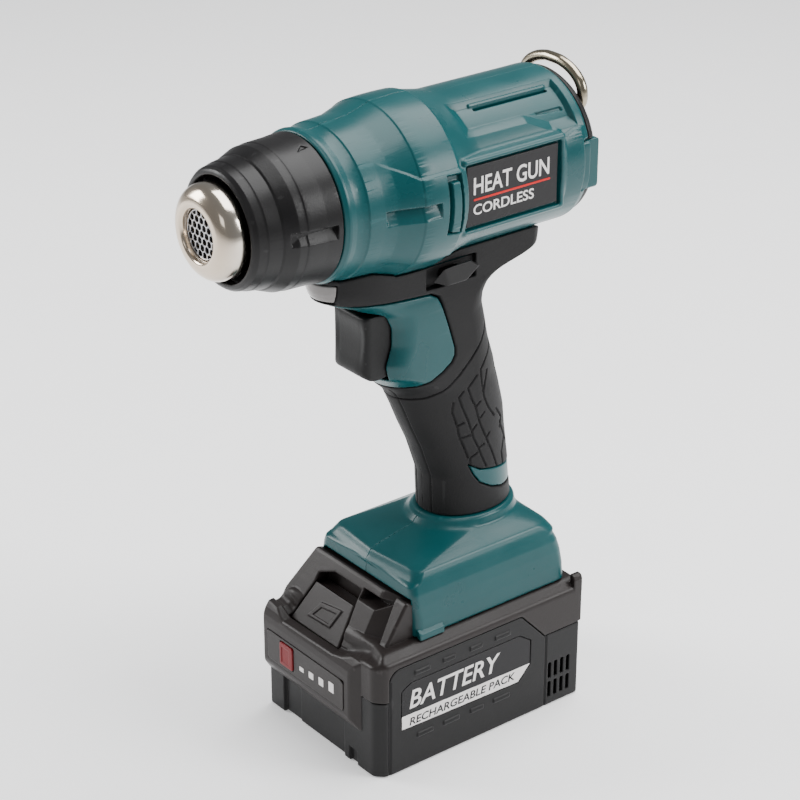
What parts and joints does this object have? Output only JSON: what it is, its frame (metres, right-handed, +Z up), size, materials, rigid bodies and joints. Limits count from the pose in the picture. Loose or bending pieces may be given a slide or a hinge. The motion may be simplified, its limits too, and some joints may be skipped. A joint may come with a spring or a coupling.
{
  "type": "cordless heat gun",
  "caption": "Pistol-shaped cordless heat gun with a steel nozzle, a pull trigger, a fold-down hanging ring and a slide-off battery pack it stands on.",
  "frame": {"origin": "centre of the battery pack's flat base, on the surface the tool stands on", "axes": "+X the way the hot air leaves, +Y to the tool's left, +Z up"},
  "size_m": [0.1746, 0.076, 0.2771],
  "materials": {
    "teal_shell": "moulded, fine matt grain",
    "grip_rubber": "soft overmoulded rubber, matt",
    "polished_steel": "polished stainless steel",
    "ring_steel": "bright plated steel wire",
    "dark_steel": "stamped steel",
    "screw_steel": "black oxide steel",
    "plain_steel": "plain steel",
    "mica": "pressed mica sheet",
    "resistance_wire": "resistance wire",
    "clear_lens": "milky clear plastic",
    "circuit_board": "lacquered circuit board",
    "badge_film": "printed film",
    "red_button": "moulded red plastic",
    "cell_wrap": "shrink film over steel can",
    "warm_grey_plastic": "moulded, fine grain",
    "trigger_plastic": "moulded, satin",
    "pack_black_plastic": "moulded, fine grain",
    "black_plastic": "moulded, satin"
  },
  "bodies": {
    "tool": {"board_heat_sink": "plain_steel", "control_board": "circuit_board", "fan_motor": "plain_steel", "front_collar": "black_plastic", "heat_shield_tube": "dark_steel", "heater_cross": "mica", "heating_coil": "resistance_wire", "housing_screw_1": "screw_steel", "housing_screw_2": "screw_steel", "housing_screw_3": "screw_steel", "housing_screw_4": "screw_steel", "housing_screw_5": "screw_steel", "left_grip": "grip_rubber", "left_housing": "teal_shell", "left_name_plate": "badge_film", "light_board": "circuit_board", "light_lens": "clear_lens", "mica_tube": "mica", "motor_carrier": "black_plastic", "nozzle": "polished_steel", "outlet_grille": "dark_steel", "rear_cap": "black_plastic", "right_grip": "grip_rubber", "right_housing": "teal_shell", "right_name_plate": "badge_film", "thermal_cutout": "black_plastic", "tool_terminals": "black_plastic", "trigger_spring": "plain_steel", "trigger_switch": "black_plastic"},
    "trigger": {"trigger": "trigger_plastic"},
    "lock_shuttle": {"lock_shuttle": "black_plastic"},
    "fan": {"fan_impeller": "black_plastic", "motor_shaft": "plain_steel"},
    "ring": {"hanging_ring": "ring_steel"},
    "battery": {"cell_1": "cell_wrap", "cell_10": "cell_wrap", "cell_2": "cell_wrap", "cell_3": "cell_wrap", "cell_4": "cell_wrap", "cell_5": "cell_wrap", "cell_6": "cell_wrap", "cell_7": "cell_wrap", "cell_8": "cell_wrap", "cell_9": "cell_wrap", "cell_board": "circuit_board", "gauge_panel": "badge_film", "left_cell_holder": "black_plastic", "left_pack_label": "badge_film", "pack_lower_housing": "pack_black_plastic", "pack_screw_1": "screw_steel", "pack_screw_2": "screw_steel", "pack_screw_3": "screw_steel", "pack_screw_4": "screw_steel", "pack_terminals": "black_plastic", "pack_upper_housing": "warm_grey_plastic", "right_cell_holder": "black_plastic", "right_pack_label": "badge_film"},
    "latch": {"latch_button": "warm_grey_plastic"},
    "gauge": {"gauge_button": "red_button"}
  },
  "joints": [
    {"name": "trigger_pull", "type": "slide", "parent": "tool", "child": "trigger", "axis": [-1, 0, 0], "range_m": [0, 0.006], "stiffness_N_per_m": 900, "springref_m": -0.006, "deforming": ["trigger_spring"]},
    {"name": "lock_slide", "type": "slide", "parent": "tool", "child": "lock_shuttle", "axis": [0, 1, 0], "range_m": [-0.0025, 0.0025]},
    {"name": "fan_spin", "type": "hinge", "parent": "tool", "child": "fan", "pos_m": [-0.036, 0, 0.2415], "axis": [1, 0, 0], "continuous": true},
    {"name": "ring_swing", "type": "hinge", "parent": "tool", "child": "ring", "pos_m": [-0.0644, 0, 0.2585], "axis": [0, -1, 0], "range_deg": [0, 170]},
    {"name": "pack_slide", "type": "slide", "parent": "tool", "child": "battery", "axis": [1, 0, 0], "range_m": [0, 0.085]},
    {"name": "latch_press", "type": "slide", "parent": "battery", "child": "latch", "axis": [0, 0, -1], "range_m": [0, 0.0025], "stiffness_N_per_m": 900, "springref_m": -0.004},
    {"name": "gauge_press", "type": "slide", "parent": "battery", "child": "gauge", "axis": [-1, 0, 0], "range_m": [0, 0.0006], "stiffness_N_per_m": 900, "springref_m": -0.0006}
  ]
}
